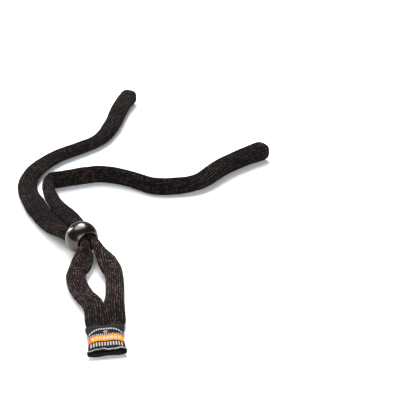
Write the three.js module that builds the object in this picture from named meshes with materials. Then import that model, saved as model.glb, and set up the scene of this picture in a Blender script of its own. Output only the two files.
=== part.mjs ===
// Eyeglass retainer strap, lying flat on the plane z = 0.
// Two knitted tubes start at the temple sleeves, run side by side through a slide bead,
// and are sewn together under a woven label. Millimetres, +Z up.
// +X is to the wearer's right-hand sleeve, +Y runs from the label towards the sleeves.

import * as THREE from 'three';

// ---- driving dimensions ----
const touchGap = 0.3; // clearance between pieces that touch
const knitSides = 12; // facets round a knitted tube

const knitWall = 1.3; // folded knit wall of a temple sleeve
const sleevePitch = 16; // spacing of the route points along a sleeve
const sleeveSpans = 3; // route spans that belong to the sleeve
const pocketDepth = 45.5; // how far a temple tip can go in
const hemDistance = 4; // hem thread, from the mouth
const hemGroove = 0.8; // depth and length of the groove that the hem thread draws in
const threadSize = 0.4; // sewing thread, as a plain ring

const beadRadius = 9;
const boreRadius = 5.2;
const lipRadius = 0.7; // rounded edge where the bore meets the ball
const beadCentre = new THREE.Vector3(-33, -64, 9);
const boreDirection = new THREE.Vector3(0.616, -0.788, 0).normalize();

const labelTop = new THREE.Vector3(-14.3, -135, 2.7); // point that label distances start from
const labelRun = new THREE.Vector3(0.15, -0.989, 0).normalize();
const labelPly = 0.35;
const labelThick = 3.9;
const labelSquareness = 4; // 2 is an ellipse, more is a flatter, squarer section
const labelSides = 32;
// distance along the label and its outer width there
const labelWidths = [[3, 18.6], [7, 17.4], [12, 16.4], [16, 16.8], [19.5, 17.8]];
const stitchDistances = { label_stitch_upper: 4.4, label_stitch_lower: 18.4 };
const bindingSpan = [19.8, 22.2];
const bindingWidth = 18;
const bindingThick = 3.8;

// moves the middle of the whole strap's box over the origin
const frameShift = new THREE.Vector3(2.2, 1.5, 0);

// ---- routes: x, y, z, flat width, thickness, roll in degrees (90 stands on its edge) ----
const leftRoute = [
  [-21.9, 153.9, 5.8, 12.4, 11.4, 0],
  [-25.8, 138.3, 5.8, 12.4, 11.4, 0],
  [-28.2, 122.4, 5.6, 12.3, 11, 0],
  [-29.9, 106.4, 5.1, 12, 10, 0],
  [-31.8, 96, 4.6, 11.8, 9, 0],
  [-34.5, 84.5, 4.1, 11.4, 8, 0],
  [-39.8, 73.5, 3.8, 10.8, 7.4, 0],
  [-47.5, 65, 3.8, 11, 7.4, 0],
  [-55, 58, 3.8, 11.2, 7.4, 0],
  [-62.5, 50.5, 3.8, 11.4, 7.4, 0],
  [-69, 40, 3.7, 11.6, 7.2, 0],
  [-73.8, 28.5, 3.6, 12, 7, 0],
  [-75.7, 16.5, 3.4, 12, 6.6, 0],
  [-74.6, 5, 3.4, 12, 6.6, 0],
  [-71.5, -6.5, 3.4, 12, 6.6, 0],
  [-67.5, -18, 3.4, 11.9, 6.6, 0],
  [-62, -29, 3.5, 11.6, 6.6, 0],
  [-55.8, -39.8, 3.9, 11.3, 6.8, 0],
  [-49.8, -48.8, 4.9, 11, 7, 12],
  [-45.4, -54.6, 6.5, 10.2, 7, 38],
  [-41.3, -58.8, 8.2, 8.8, 5.8, 70],
  [-38.9, -60.4, 9, 7.8, 4.3, 90],
  [-34.9, -65.5, 9, 7.8, 4.3, 90],
  [-30.9, -70.6, 9, 7.8, 4.3, 90],
  [-30, -74.6, 8.2, 8.8, 5.6, 72],
  [-30.6, -79.5, 6.4, 9.6, 6.2, 45],
  [-31.9, -85.5, 4.7, 9.8, 6.4, 18],
  [-32.5, -91.5, 3.8, 9.7, 6.3, 0],
  [-31.7, -98, 3.5, 9.6, 6.2, 0],
  [-29.6, -104.5, 3.4, 9.6, 6, 0],
  [-26.4, -111, 3.3, 9.6, 5.8, 0],
  [-22.6, -118, 3.2, 9.5, 5.6, 0],
  [-20.4, -126, 3, 9.3, 5.2, 0],
  [-19.4, -133.5, 2.8, 9, 4.2, 0],
  [-18.2, -138.6, 2.7, 8.2, 2.6, 0],
  [-16.3, -147.4, 2.7, 7.2, 2.6, 0],
  [-15.5, -154.7, 2.7, 7.8, 2.6, 0],
];
const rightRoute = [
  [73.6, 56.4, 5.8, 12.4, 11.6, 0],
  [61.2, 46.2, 5.8, 12.4, 11.6, 0],
  [49.3, 35.4, 5.6, 12.3, 11, 0],
  [39.3, 22.9, 5.3, 12, 10.4, 0],
  [34.4, 16.2, 5, 11.8, 9.8, 5],
  [29.7, 11.2, 4.9, 11.4, 8.8, 15],
  [24.3, 7.8, 4.9, 10.6, 7.6, 30],
  [17.5, 5.5, 5, 10.4, 6.8, 50],
  [9.7, 4.2, 5.2, 10.6, 6.4, 65],
  [1.5, 5, 5.4, 10.8, 6.2, 80],
  [-6, 9.4, 5.6, 11, 6, 86],
  [-13.9, 14.4, 5.7, 11.2, 6, 90],
  [-22.5, 18.2, 5.8, 11.4, 6, 90],
  [-32, 20, 5.8, 11.5, 6, 90],
  [-40.8, 18.2, 5.8, 11.5, 6, 90],
  [-49, 14.8, 5.8, 11.4, 6, 90],
  [-55.5, 12.8, 5.7, 11.2, 6, 90],
  [-60, 11, 5.6, 11, 6, 86],
  [-61.6, 6.5, 5.5, 10.8, 6.4, 76],
  [-60.6, 0, 5.4, 10.6, 7, 62],
  [-58, -8, 5.1, 10.6, 7, 48],
  [-54.3, -16, 4.8, 10.8, 6.8, 32],
  [-49.6, -24.2, 4.6, 11, 6.6, 18],
  [-44.2, -33, 4.8, 11.2, 6.6, 8],
  [-39.2, -42.6, 5.6, 10.8, 7, 15],
  [-36.9, -49.6, 7.2, 10, 6.8, 40],
  [-36.1, -54.7, 8.4, 8.8, 5.8, 70],
  [-35.4, -57, 9, 7.8, 4.3, 90],
  [-31.1, -62.5, 9, 7.8, 4.3, 90],
  [-26.8, -68, 9, 7.8, 4.3, 90],
  [-24, -71.4, 8.4, 8.8, 5.8, 72],
  [-20.6, -76, 6.8, 9.6, 6.6, 45],
  [-17.2, -81.5, 5.2, 9.8, 6.6, 20],
  [-14.4, -88.5, 4, 9.7, 6.4, 5],
  [-12.8, -96, 3.6, 9.6, 6.2, 0],
  [-12, -103.5, 3.4, 9.6, 6, 0],
  [-11.3, -111.3, 3.3, 9.6, 5.8, 0],
  [-10.6, -119.5, 3.2, 9.5, 5.6, 0],
  [-9.7, -127, 3, 9.3, 5.2, 0],
  [-8.9, -133, 2.8, 9, 4.2, 0],
  [-9.6, -137.2, 2.7, 8.2, 2.6, 0],
  [-8.7, -146.2, 2.7, 7.2, 2.6, 0],
  [-7.2, -153.4, 2.7, 7.8, 2.6, 0],
];
const seamRoute = [
  [-15.85, -122, 3.1],
  [-15.1, -127, 3],
  [-14.3, -132, 2.85],
  [-13.95, -136, 2.75],
];
const seamSize = [0.4, 2]; // thickness and height of the thread in the groove

// ---- shapes ----
const up = new THREE.Vector3(0, 0, 1);

/** A closed ring of points: a superellipse of full width and thickness round a centre. */
function ring(place, width, thick, sides, squareness = 2) {
  const points = [];
  for (let side = 0; side < sides; side += 1) {
    const angle = (2 * Math.PI * side) / sides;
    const c = Math.cos(angle);
    const s = Math.sin(angle);
    const across = Math.sign(c) * Math.abs(c) ** (2 / squareness) * (width / 2);
    const over = Math.sign(s) * Math.abs(s) ** (2 / squareness) * (thick / 2);
    const point = place.centre.clone();
    point.addScaledVector(place.across, across);
    point.addScaledVector(place.over, over);
    points.push(point);
  }
  return points;
}

/** Skins a list of rings. The two ends are closed, or joined to each other when wrapped. */
function skin(rings, wrapped = false) {
  const sides = rings[0].length;
  const vertices = rings.flat().flatMap((point) => point.toArray());
  const faces = [];
  const spans = wrapped ? rings.length : rings.length - 1;
  for (let span = 0; span < spans; span += 1) {
    const here = span * sides;
    const there = ((span + 1) % rings.length) * sides;
    for (let side = 0; side < sides; side += 1) {
      const next = (side + 1) % sides;
      faces.push(here + side, there + side, here + next);
      faces.push(here + next, there + side, there + next);
    }
  }
  if (!wrapped) {
    const last = (rings.length - 1) * sides;
    for (let side = 1; side < sides - 1; side += 1) {
      faces.push(0, side, side + 1);
      faces.push(last, last + side + 1, last + side);
    }
  }
  const geometry = new THREE.BufferGeometry();
  geometry.setAttribute('position', new THREE.Float32BufferAttribute(vertices, 3));
  geometry.setIndex(faces);
  geometry.computeVertexNormals();
  return geometry;
}

/** The centre, section axes and section size of a route at a point number such as 2.5. */
function placeOn(route, at) {
  const curve = new THREE.CatmullRomCurve3(route.map(([x, y, z]) => new THREE.Vector3(x, y, z)));
  const u = at / (route.length - 1);
  const tangent = curve.getTangent(u);
  const flat = new THREE.Vector3().crossVectors(tangent, up).normalize();
  const first = Math.min(Math.floor(at), route.length - 2);
  const [width, thick, roll] = [3, 4, 5].map((column) =>
    THREE.MathUtils.lerp(route[first][column], route[first + 1][column], at - first),
  );
  const turn = THREE.MathUtils.degToRad(roll);
  const across = flat.applyAxisAngle(tangent, -turn);
  const over = new THREE.Vector3().crossVectors(across, tangent).normalize();
  return { centre: curve.getPoint(u), tangent, across, over, width, thick };
}

/** The outer width of the label at a distance along it. */
function labelWidthAt(distance) {
  const span = labelWidths.findIndex(([end]) => end >= distance);
  const [start, startWidth] = labelWidths[Math.max(span - 1, 0)];
  const [end, endWidth] = labelWidths[Math.max(span, 1)];
  return THREE.MathUtils.mapLinear(distance, start, end, startWidth, endWidth);
}

/** A section place on the label's straight run. */
function placeOnLabel(distance, drop = 0) {
  const centre = labelTop.clone().addScaledVector(labelRun, distance).addScaledVector(up, -drop);
  const across = new THREE.Vector3().crossVectors(labelRun, up);
  return { centre, across, over: up };
}

// ---- pieces ----
/** One temple sleeve: the knit tube's end, hollow from its mouth to the pocket's floor. */
function templeSleeve(route) {
  const grooveStart = hemDistance - hemGroove;
  const outside = [sleevePitch * sleeveSpans, 40, 33, 24.75, 16.5, 8.25];
  const nearMouth = [hemDistance + hemGroove, hemDistance + 0.4, hemDistance - 0.4, grooveStart, 1, 0];
  const rings = [...outside, ...nearMouth].map((distance) => {
    const place = placeOn(route, distance / sleevePitch);
    const drawnIn = Math.abs(distance - hemDistance) < hemGroove / 1.5 ? 2 * hemGroove : 0;
    const rounded = distance === 0 ? 0.5 : 0;
    const less = drawnIn + rounded;
    return ring(place, place.width - less, place.thick - less, knitSides);
  });
  for (const distance of [0, 1, 8.25, 16.5, 24.75, 33, 40, pocketDepth]) {
    const place = placeOn(route, distance / sleevePitch);
    const inner = 2 * knitWall;
    rings.push(ring(place, place.width - inner, place.thick - inner, knitSides));
  }
  return skin(rings.reverse());
}

/** One leg of knit tube, from behind its sleeve through the bead to the label's end. */
function knitLeg(route) {
  const rings = [];
  for (let at = sleeveSpans; at <= route.length - 1; at += 0.5) {
    const place = placeOn(route, at);
    if (at === sleeveSpans) {
      place.centre.addScaledVector(place.tangent, touchGap);
    }
    rings.push(ring(place, place.width, place.thick, knitSides));
  }
  return skin(rings);
}

/** A loop of thread drawn round a closed outline that lies in one plane. */
function threadLoop(place, run, width, thick, sides, squareness) {
  const half = threadSize / 2;
  const corners = [[-half, 0], [-half, threadSize], [half, threadSize], [half, 0]];
  const rings = corners.map(([along, out]) => {
    const centre = place.centre.clone().addScaledVector(run, along);
    return ring({ ...place, centre }, width + 2 * out, thick + 2 * out, sides, squareness);
  });
  return skin(rings, true);
}

/** The thread in a sleeve's hem, lying in its groove. */
function mouthHem(route) {
  const place = placeOn(route, hemDistance / sleevePitch);
  const inset = 2 * (hemGroove - touchGap);
  return threadLoop(place, place.tangent, place.width - inset, place.thick - inset, 2 * knitSides);
}

/** The ball with its bore, turned about the bore's axis. */
function slideBead() {
  const lipCentre = boreRadius + lipRadius;
  const lipHeight = Math.sqrt((beadRadius - lipRadius) ** 2 - lipCentre ** 2);
  const lean = Math.atan2(lipHeight, lipCentre);
  const arcs = [
    [lipCentre, -lipHeight, lipRadius, -Math.PI, -lean, 4],
    [0, 0, beadRadius, -lean, lean, 14],
    [lipCentre, lipHeight, lipRadius, lean, Math.PI, 4],
  ];
  const profile = arcs.flatMap(([x, y, radius, from, to, steps]) => {
    const arc = new THREE.EllipseCurve(x, y, radius, radius, from, to);
    return arc.getPoints(steps).slice(radius === beadRadius ? 1 : 0, radius === beadRadius ? -1 : undefined);
  });
  profile.push(profile[0].clone());
  return new THREE.LatheGeometry(profile, 40);
}

/** The woven label, wrapped round both legs as a flat tube. */
function labelBand() {
  const outside = labelWidths.map(([distance, width]) =>
    ring(placeOnLabel(distance), width, labelThick, labelSides, labelSquareness),
  );
  const inside = labelWidths.map(([distance, width]) => {
    const less = 2 * labelPly;
    return ring(placeOnLabel(distance), width - less, labelThick - less, labelSides, labelSquareness);
  });
  return skin([...outside, ...inside.reverse()], true);
}

/** The binding folded over the legs' raw ends. */
function endBinding() {
  const [start, end] = bindingSpan;
  const rounding = 0.6;
  const profile = [[start, 0], [end - rounding, 0], [end, rounding]];
  const drop = (labelThick - bindingThick) / 2 + 0.2;
  const rings = profile.map(([distance, less]) =>
    ring(placeOnLabel(distance, drop), bindingWidth - less, bindingThick - less, 24, labelSquareness),
  );
  return skin(rings);
}

/** The row of thread that holds the label, as one loop round it. */
function labelStitch(distance) {
  const width = labelWidthAt(distance) + 2 * touchGap;
  const thick = labelThick + 2 * touchGap;
  return threadLoop(placeOnLabel(distance), labelRun, width, thick, labelSides, labelSquareness);
}

/** The thread that closes the groove between the two legs above the label. */
function joinSeam() {
  const [thickness, height] = seamSize;
  const route = seamRoute.map((point) => [...point, thickness, height, 0]);
  const rings = [0, 0.5, 1, 1.5, 2, 2.5, 3].map((at) => {
    const place = placeOn(route, at);
    return ring(place, place.width, place.thick, 8);
  });
  return skin(rings);
}

// ---- the strap ----
const knit = { color: 0x1b1916, roughness: 0.95, metalness: 0 };
const thread = { color: 0x100f0e, roughness: 0.8, metalness: 0 };
const finishes = {
  knit,
  thread,
  bead: { color: 0x2b2927, roughness: 0.22, metalness: 0.1 },
  label: { color: 0x17161a, roughness: 0.7, metalness: 0 },
  binding: { color: 0x14120f, roughness: 0.9, metalness: 0 },
};

const strap = new THREE.Group();
strap.position.copy(frameShift);

function addPiece(name, geometry, finish) {
  const mesh = new THREE.Mesh(geometry, new THREE.MeshStandardMaterial(finishes[finish]));
  mesh.name = name;
  strap.add(mesh);
  return mesh;
}

for (const [side, route] of [['left', leftRoute], ['right', rightRoute]]) {
  addPiece(`${side}_temple_sleeve`, templeSleeve(route), 'knit');
  addPiece(`${side}_mouth_hem`, mouthHem(route), 'thread');
  addPiece(`${side}_leg`, knitLeg(route), 'knit');
}

const bead = addPiece('slide_bead', slideBead(), 'bead');
bead.quaternion.setFromUnitVectors(new THREE.Vector3(0, 1, 0), boreDirection);
bead.position.copy(beadCentre);

addPiece('join_seam', joinSeam(), 'thread');
addPiece('label_band', labelBand(), 'label');
for (const [name, distance] of Object.entries(stitchDistances)) {
  addPiece(name, labelStitch(distance), 'thread');
}
addPiece('end_binding', endBinding(), 'binding');

export default strap;
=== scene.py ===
"""Looks of an eyeglass retainer strap: two knitted tubes, a slide bead, a woven label and its binding.

Metres, +Z up, the strap lying on z = 0. +Y runs from the label towards the temple sleeves.
"""

import math

import bmesh
import bpy
import numpy as np
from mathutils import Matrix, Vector


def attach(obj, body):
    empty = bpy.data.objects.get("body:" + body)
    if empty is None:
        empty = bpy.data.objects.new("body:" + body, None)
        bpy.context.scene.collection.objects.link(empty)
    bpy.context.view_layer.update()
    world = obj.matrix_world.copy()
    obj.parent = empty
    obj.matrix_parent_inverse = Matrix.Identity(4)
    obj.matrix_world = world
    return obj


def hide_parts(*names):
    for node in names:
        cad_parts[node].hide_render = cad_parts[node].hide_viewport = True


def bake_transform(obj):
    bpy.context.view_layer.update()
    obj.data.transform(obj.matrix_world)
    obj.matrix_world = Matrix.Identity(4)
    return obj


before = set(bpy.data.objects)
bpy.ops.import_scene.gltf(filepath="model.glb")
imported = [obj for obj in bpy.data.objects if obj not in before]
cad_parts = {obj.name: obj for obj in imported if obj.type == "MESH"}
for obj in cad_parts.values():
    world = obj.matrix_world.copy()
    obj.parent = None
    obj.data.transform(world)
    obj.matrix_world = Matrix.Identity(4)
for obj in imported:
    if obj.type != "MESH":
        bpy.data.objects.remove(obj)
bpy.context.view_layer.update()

MM = 0.001
UP = np.array([0.0, 0.0, 1.0])

# ---------------------------------------------------------------- routes
# x, y, z, flat width, thickness, roll in degrees (90 stands on its edge)
LEFT_ROUTE = [
    (-0.0219, 0.1539, 0.0058, 0.0124, 0.0114, 0),
    (-0.0258, 0.1383, 0.0058, 0.0124, 0.0114, 0),
    (-0.0282, 0.1224, 0.0056, 0.0123, 0.011, 0),
    (-0.0299, 0.1064, 0.0051, 0.012, 0.01, 0),
    (-0.0318, 0.096, 0.0046, 0.0118, 0.009, 0),
    (-0.0345, 0.0845, 0.0041, 0.0114, 0.008, 0),
    (-0.0398, 0.0735, 0.0038, 0.0108, 0.0074, 0),
    (-0.0475, 0.065, 0.0038, 0.011, 0.0074, 0),
    (-0.055, 0.058, 0.0038, 0.0112, 0.0074, 0),
    (-0.0625, 0.0505, 0.0038, 0.0114, 0.0074, 0),
    (-0.069, 0.04, 0.0037, 0.0116, 0.0072, 0),
    (-0.0738, 0.0285, 0.0036, 0.012, 0.007, 0),
    (-0.0757, 0.0165, 0.0034, 0.012, 0.0066, 0),
    (-0.0746, 0.005, 0.0034, 0.012, 0.0066, 0),
    (-0.0715, -0.0065, 0.0034, 0.012, 0.0066, 0),
    (-0.0675, -0.018, 0.0034, 0.0119, 0.0066, 0),
    (-0.062, -0.029, 0.0035, 0.0116, 0.0066, 0),
    (-0.0558, -0.0398, 0.0039, 0.0113, 0.0068, 0),
    (-0.0498, -0.0488, 0.0049, 0.011, 0.007, 12),
    (-0.0454, -0.0546, 0.0065, 0.0102, 0.007, 38),
    (-0.0413, -0.0588, 0.0082, 0.0088, 0.0058, 70),
    (-0.0389, -0.0604, 0.009, 0.0078, 0.0043, 90),
    (-0.0349, -0.0655, 0.009, 0.0078, 0.0043, 90),
    (-0.0309, -0.0706, 0.009, 0.0078, 0.0043, 90),
    (-0.03, -0.0746, 0.0082, 0.0088, 0.0056, 72),
    (-0.0306, -0.0795, 0.0064, 0.0096, 0.0062, 45),
    (-0.0319, -0.0855, 0.0047, 0.0098, 0.0064, 18),
    (-0.0325, -0.0915, 0.0038, 0.0097, 0.0063, 0),
    (-0.0317, -0.098, 0.0035, 0.0096, 0.0062, 0),
    (-0.0296, -0.1045, 0.0034, 0.0096, 0.006, 0),
    (-0.0264, -0.111, 0.0033, 0.0096, 0.0058, 0),
    (-0.0226, -0.118, 0.0032, 0.0095, 0.0056, 0),
    (-0.0204, -0.126, 0.003, 0.0093, 0.0052, 0),
    (-0.0194, -0.1335, 0.0028, 0.009, 0.0042, 0),
    (-0.0182, -0.1386, 0.0027, 0.0082, 0.0026, 0),
    (-0.0163, -0.1474, 0.0027, 0.0072, 0.0026, 0),
    (-0.0155, -0.1547, 0.0027, 0.0078, 0.0026, 0),
]
RIGHT_ROUTE = [
    (0.0736, 0.0564, 0.0058, 0.0124, 0.0116, 0),
    (0.0612, 0.0462, 0.0058, 0.0124, 0.0116, 0),
    (0.0493, 0.0354, 0.0056, 0.0123, 0.011, 0),
    (0.0393, 0.0229, 0.0053, 0.012, 0.0104, 0),
    (0.0344, 0.0162, 0.005, 0.0118, 0.0098, 5),
    (0.0297, 0.0112, 0.0049, 0.0114, 0.0088, 15),
    (0.0243, 0.0078, 0.0049, 0.0106, 0.0076, 30),
    (0.0175, 0.0055, 0.005, 0.0104, 0.0068, 50),
    (0.0097, 0.0042, 0.0052, 0.0106, 0.0064, 65),
    (0.0015, 0.005, 0.0054, 0.0108, 0.0062, 80),
    (-0.006, 0.0094, 0.0056, 0.011, 0.006, 86),
    (-0.0139, 0.0144, 0.0057, 0.0112, 0.006, 90),
    (-0.0225, 0.0182, 0.0058, 0.0114, 0.006, 90),
    (-0.032, 0.02, 0.0058, 0.0115, 0.006, 90),
    (-0.0408, 0.0182, 0.0058, 0.0115, 0.006, 90),
    (-0.049, 0.0148, 0.0058, 0.0114, 0.006, 90),
    (-0.0555, 0.0128, 0.0057, 0.0112, 0.006, 90),
    (-0.06, 0.011, 0.0056, 0.011, 0.006, 86),
    (-0.0616, 0.0065, 0.0055, 0.0108, 0.0064, 76),
    (-0.0606, 0, 0.0054, 0.0106, 0.007, 62),
    (-0.058, -0.008, 0.0051, 0.0106, 0.007, 48),
    (-0.0543, -0.016, 0.0048, 0.0108, 0.0068, 32),
    (-0.0496, -0.0242, 0.0046, 0.011, 0.0066, 18),
    (-0.0442, -0.033, 0.0048, 0.0112, 0.0066, 8),
    (-0.0392, -0.0426, 0.0056, 0.0108, 0.007, 15),
    (-0.0369, -0.0496, 0.0072, 0.01, 0.0068, 40),
    (-0.0361, -0.0547, 0.0084, 0.0088, 0.0058, 70),
    (-0.0354, -0.057, 0.009, 0.0078, 0.0043, 90),
    (-0.0311, -0.0625, 0.009, 0.0078, 0.0043, 90),
    (-0.0268, -0.068, 0.009, 0.0078, 0.0043, 90),
    (-0.024, -0.0714, 0.0084, 0.0088, 0.0058, 72),
    (-0.0206, -0.076, 0.0068, 0.0096, 0.0066, 45),
    (-0.0172, -0.0815, 0.0052, 0.0098, 0.0066, 20),
    (-0.0144, -0.0885, 0.004, 0.0097, 0.0064, 5),
    (-0.0128, -0.096, 0.0036, 0.0096, 0.0062, 0),
    (-0.012, -0.1035, 0.0034, 0.0096, 0.006, 0),
    (-0.0113, -0.1113, 0.0033, 0.0096, 0.0058, 0),
    (-0.0106, -0.1195, 0.0032, 0.0095, 0.0056, 0),
    (-0.0097, -0.127, 0.003, 0.0093, 0.0052, 0),
    (-0.0089, -0.133, 0.0028, 0.009, 0.0042, 0),
    (-0.0096, -0.1372, 0.0027, 0.0082, 0.0026, 0),
    (-0.0087, -0.1462, 0.0027, 0.0072, 0.0026, 0),
    (-0.0072, -0.1534, 0.0027, 0.0078, 0.0026, 0),
]
SEAM_ROUTE = [
    (-0.01585, -0.122, 0.0031),
    (-0.0151, -0.127, 0.003),
    (-0.0143, -0.132, 0.00285),
    (-0.01395, -0.136, 0.00275),
]
FRAME_SHIFT = np.array([0.0022, 0.0015, 0.0])  # from the routes' own origin to the strap's

# Stretches where a tube leaves its route a little: first and last route point, then in
# millimetres the extra width, sideways shift, extra thickness and rise. Above the bead and above
# the label the tubes press against each other, just below the bead they swell out of it, and
# inside the label they are pressed flat.
SWELL_FADE = 1.4  # in route points, at each end of a stretch
LEFT_UPPER_SWELLS = [(13.5, 20.6, 1.3, -1.5, 0.3, 0), (18.2, 20.9, 1.5, 0.8, 0.4, -0.3)]
LEFT_LOWER_SWELLS = [
    (23.2, 27.4, 1.5, -0.7, 0, 0),
    (26.2, 31.4, 0.9, 0.6, 0, 0),
    (29.9, 36, 1.4, -0.75, 0, 0),
    (34.4, 40, 0, 0, -1.2, -0.75),
]
RIGHT_UPPER_SWELLS = [(19.5, 26, 0.5, 0.2, 0.2, 0)]
RIGHT_LOWER_SWELLS = [
    (29.4, 33.8, 1.6, 0.7, 0, 0),
    (29.5, 32.6, 1.2, -0.3, 0, 0),
    (35.8, 42, 1.4, 0.6, 0, 0),
    (40.4, 46, 0, 0, -1.2, -0.75),
]

# ---------------------------------------------------------------- sizes
WALES = 21  # lengthwise ribs round a knitted tube
SIDES_PER_WALE = 6
COURSE = 1.3 * MM  # length of one knitted stitch
RING_STEP = 0.55 * MM  # between a tube's rings
ROUTE_STEP = 0.04  # in route points, for measuring along a route
SIZE_REACH = 2.2 * MM  # each way, over which a tube's sizes are averaged
TUBE_SQUARENESS = 2.15  # 2 is an ellipse, more is squarer
DENT_DEPTH = 0.9 * MM  # of the hollow down the middle of a flattened tube
DENT_FLATNESS = 0.12  # from which the hollow starts
DENT_WIDTH = 0.45  # as a share of half the tube's width
DENT_WANDER = 17 * MM
# how much painted light makes the knit paler, as (distance from the origin towards the label, share)
PAINTED_LIGHT = [(0.045, 0.1), (0.078, 1.0), (0.104, 0.85), (0.124, 0.3), (0.14, 0.2)]
LEFT_SEED = 3
RIGHT_SEED = 8

POCKET_DEPTH = 45 * MM  # of a temple sleeve, from its mouth
KNIT_WALL = 1.2 * MM
FOLD_STEPS = 8  # of the fold at a mouth
FOLD_OVERHANG = 0.1 * MM
FOLD_COVER = 0.6  # how deep the ribs are there, and in the pocket
POCKET_COVER = 0.35
MOUTH_SQUARENESS = 0.9  # added at a mouth
MOUTH_SQUARE_RUN = 14 * MM
MOUTH_ROUNDING = 1.0 * MM  # how far a mouth draws in
MOUTH_ROUNDING_RUN = 4 * MM
HEM_DISTANCE = 3.4 * MM  # from a mouth to the groove with its thread
HEM_GROOVE_DEPTH = 0.28 * MM
HEM_GROOVE_REACH = 0.45 * MM
HEM_THREAD_DEPTH = 0.3 * MM
HEM_POINTS = 96
SEAM_STEP = 0.4 * MM
SEAM_LIFT = 0.2 * MM

BEAD_RADIUS = 9 * MM
BORE_RADIUS = 5.2 * MM
LIP_RADIUS = 0.7 * MM  # of the bore's rounded edges
BEAD_TURNS = 112
BEAD_CENTRE = np.array([-0.033, -0.064, 0.009]) + FRAME_SHIFT
BORE_DIRECTION = np.array([0.616, -0.788, 0.0]) / math.hypot(0.616, 0.788)
LEFT_BEAD_POINT = 22  # the route point inside the bead
RIGHT_BEAD_POINT = 28

# distances along the label start at LABEL_TOP, a little above its edge
LABEL_TOP = np.array([-0.0143, -0.135, 0.0027]) + FRAME_SHIFT
LABEL_RUN = np.array([0.15, -0.989, 0.0]) / math.hypot(0.15, 0.989)
LABEL_ACROSS = np.array([-LABEL_RUN[1], LABEL_RUN[0], 0.0])
LABEL_DISTANCES = np.array([3, 7, 12, 16, 21.2]) * MM
LABEL_WIDTHS = np.array([18.6, 17.4, 16.4, 16.8, 17.8]) * MM
LABEL_THICK = 3.9 * MM
LABEL_END_THICK = 2.9 * MM  # it thins towards the binding
LABEL_THINS_FROM = 12 * MM
LABEL_THINS_OVER = 9.5 * MM
LABEL_PLY = 0.35 * MM
LABEL_EDGE = 0.1 * MM  # how far its two edges draw in
LABEL_LIFT = 0.16 * MM  # of the two swellings over the tubes inside
LABEL_RIPPLE = 0.12 * MM
LABEL_STEP = 0.33 * MM
LABEL_SIDES = 144
LABEL_SQUARENESS = 4.0
SWELLING_SPACING = 0.52  # as a share of the label's width
ROW_POINTS = 240  # round the label, for a row of thread

BINDING_START = 20.9 * MM
BINDING_END = 22.2 * MM
BINDING_LAP = 0.15 * MM  # how much further in its hidden edge starts
BINDING_WIDTH = 18 * MM
BINDING_THICK = 2.1 * MM
BINDING_ROUNDING = 0.55 * MM
BINDING_RISE = -0.9 * MM
BINDING_LIFT = 0.1 * MM
BINDING_WAVE = 0.12 * MM

# the woven pattern, in millimetres along the label and out from its middle
PATTERN_HALF = 8.6
ARCH_TOP = 5.9
ARCH_DROP = 4.2
DIAMOND_AT = 8.1
TOP_BARS = (9.5, 10.5)
ORANGE_BAND = (10.7, 14.6)
BLOCKS = (11.8, 13.5)
BLOCKS_HALF = 6.9
LOWER_BARS = (15.5, 18.0)
LOWER_BARS_HALF = 7.6
BAR_SOFTNESS = 0.08


# ---------------------------------------------------------------- camera
def make_camera():
    data = bpy.data.cameras.new("camera")
    data.lens = 81
    data.sensor_width = 36
    data.clip_start = 0.01
    data.clip_end = 60
    camera = bpy.data.objects.new("camera", data)
    camera.location = (0.0333, -0.4837, 0.2560)
    camera.rotation_euler = (math.radians(62), 0, 0)
    bpy.context.scene.collection.objects.link(camera)
    bpy.context.scene.camera = camera


make_camera()


# ---------------------------------------------------------------- routes in space
def route_point(rows, at):
    """The point of a centripetal spline through the rows, at a row number such as 2.5."""
    points = [np.array(row[:3]) for row in rows]
    first = min(int(math.floor(at)), len(points) - 2)
    weight = at - first
    p1, p2 = points[first], points[first + 1]
    p0 = points[first - 1] if first > 0 else 2 * points[0] - points[1]
    p3 = points[first + 2] if first + 2 < len(points) else 2 * points[-1] - points[-2]
    d0, d1, d2 = (max(np.sum((b - a) ** 2) ** 0.25, 1e-6) for a, b in ((p0, p1), (p1, p2), (p2, p3)))
    t1 = ((p1 - p0) / d0 - (p2 - p0) / (d0 + d1) + (p2 - p1) / d1) * d1
    t2 = ((p2 - p1) / d1 - (p3 - p1) / (d1 + d2) + (p3 - p2) / d2) * d1
    return (
        p1
        + t1 * weight
        + (3 * p2 - 3 * p1 - 2 * t1 - t2) * weight**2
        + (2 * p1 - 2 * p2 + t1 + t2) * weight**3
    )


def route_line(rows, start, end, step):
    """Evenly spaced points along part of a route, with their distances and row numbers."""
    numbers = np.arange(start, end + 1e-9, ROUTE_STEP)
    fine = np.array([route_point(rows, at) for at in numbers])
    run = np.concatenate([[0], np.cumsum(np.linalg.norm(np.diff(fine, axis=0), axis=1))])
    places = np.linspace(0, run[-1], int(round(run[-1] / step)) + 1)
    centre = np.stack([np.interp(places, run, fine[:, axis]) for axis in range(3)], 1)
    return centre, places, np.interp(places, run, numbers)


def smoothed(values, reach):
    """A running average over a number of values each way, padded with the end values."""
    kernel = np.hanning(2 * reach + 3)[1:-1]
    kernel /= kernel.sum()
    padded = np.pad(values, reach, mode="edge")
    return np.convolve(padded, kernel, mode="valid")


def eased(share):
    """A smooth step for a share from 0 to 1."""
    return share * share * (3 - 2 * share)


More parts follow.
